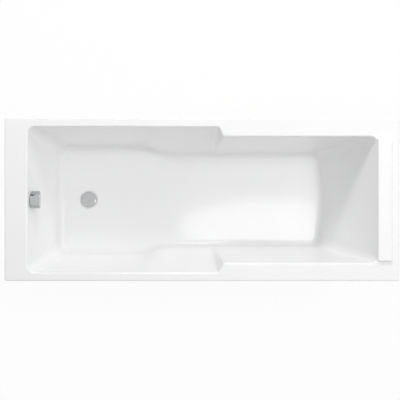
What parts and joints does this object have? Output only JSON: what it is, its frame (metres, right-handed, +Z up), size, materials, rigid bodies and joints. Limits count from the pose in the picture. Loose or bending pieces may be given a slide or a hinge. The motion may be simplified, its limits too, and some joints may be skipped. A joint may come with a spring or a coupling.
{
  "type": "shower bath",
  "caption": "White acrylic shower bath: wide showering end, narrower reclining end with a headrest, pop-up waste worked by an overflow knob, on adjustable legs.",
  "frame": {"origin": "on the room's floor under the middle of the bath", "axes": "+X along the bath towards the head end, +Y towards the wall side, +Z up"},
  "size_m": [1.7, 0.7, 0.5843],
  "materials": {
    "acrylic": "white sanitary acrylic, glossy",
    "chipboard": "raw chipboard",
    "timber": "sawn softwood",
    "zinc_steel": "zinc-plated steel",
    "black_plastic": "moulded plastic",
    "chrome": "chrome plate",
    "polished_steel": "polished stainless steel",
    "brass": "turned brass",
    "black_rubber": "soft rubber",
    "white_plastic": "moulded plastic",
    "hose_plastic": "ribbed plastic",
    "cable_sheath": "plastic sheath",
    "headrest_foam": "smooth skinned foam"
  },
  "bodies": {
    "bath": {"bath_shell": "acrylic", "base_board": "chipboard", "side_batten_front": "timber", "side_batten_back": "timber", "head_batten": "timber", "foot_batten_front": "timber", "foot_batten_back": "timber", "leg_rail_foot_end": "zinc_steel", "leg_rail_head_end": "zinc_steel", "leg_washers": "zinc_steel", "leg_nuts": "zinc_steel", "rail_screws": "zinc_steel", "bracket_screws": "zinc_steel", "wall_bracket_1": "zinc_steel", "wall_bracket_2": "zinc_steel", "hose_clips": "zinc_steel", "rail_end_caps": "black_plastic", "waste_flange": "polished_steel", "lever_pin": "polished_steel", "waste_top_seal": "black_rubber", "waste_body_seal": "black_rubber", "overflow_seal": "black_rubber", "union_washer": "black_rubber", "trap_cup_seal": "black_rubber", "peg_grommets": "black_rubber", "waste_body": "white_plastic", "overflow_elbow": "white_plastic", "overflow_rosette": "white_plastic", "trap_body": "white_plastic", "trap_cup": "white_plastic", "union_nut": "white_plastic", "waste_cable_gland": "white_plastic", "overflow_cable_gland": "white_plastic", "overflow_hose": "hose_plastic", "bowden_cable": "cable_sheath"},
    "knob": {"overflow_knob": "chrome", "knob_spindle": "brass", "cable_drum": "white_plastic"},
    "plug": {"waste_plug": "chrome", "plug_seal": "black_rubber", "plug_stem": "brass"},
    "lever": {"lift_lever": "white_plastic"},
    "headrest": {"headrest_pad": "headrest_foam", "headrest_pegs": "white_plastic"},
    "foot_end_front_foot": {"foot_stud_foot_end_front": "zinc_steel", "foot_pad_foot_end_front": "black_plastic"},
    "foot_end_back_foot": {"foot_stud_foot_end_back": "zinc_steel", "foot_pad_foot_end_back": "black_plastic"},
    "head_end_front_foot": {"foot_stud_head_end_front": "zinc_steel", "foot_pad_head_end_front": "black_plastic"},
    "head_end_back_foot": {"foot_stud_head_end_back": "zinc_steel", "foot_pad_head_end_back": "black_plastic"}
  },
  "joints": [
    {"name": "knob_turn", "type": "hinge", "parent": "bath", "child": "knob", "pos_m": [-0.74212, 0, 0.52], "axis": [0.981, 0, 0.1939], "range_deg": [0, 90]},
    {"name": "plug_lift", "type": "slide", "parent": "bath", "child": "plug", "axis": [0, 0, 1], "range_m": [0, 0.008]},
    {"name": "lever_rock", "type": "hinge", "parent": "bath", "child": "lever", "pos_m": [-0.532, 0.02163, 0.12071], "axis": [-1, 0, 0], "range_deg": [0, 21]},
    {"name": "headrest_lift", "type": "slide", "parent": "bath", "child": "headrest", "axis": [0, 0, 1], "range_m": [0, 0.03]},
    {"name": "foot_end_front_foot_extend", "type": "slide", "parent": "bath", "child": "foot_end_front_foot", "axis": [0, 0, -1], "range_m": [0, 0.03]},
    {"name": "foot_end_back_foot_extend", "type": "slide", "parent": "bath", "child": "foot_end_back_foot", "axis": [0, 0, -1], "range_m": [0, 0.03]},
    {"name": "head_end_front_foot_extend", "type": "slide", "parent": "bath", "child": "head_end_front_foot", "axis": [0, 0, -1], "range_m": [0, 0.03]},
    {"name": "head_end_back_foot_extend", "type": "slide", "parent": "bath", "child": "head_end_back_foot", "axis": [0, 0, -1], "range_m": [0, 0.03]}
  ],
  "couplings": [
    {"joint": "plug_lift", "follows": "knob_turn", "m_per_rad": 0.005093},
    {"joint": "lever_rock", "follows": "knob_turn", "ratio": 0.23333}
  ]
}
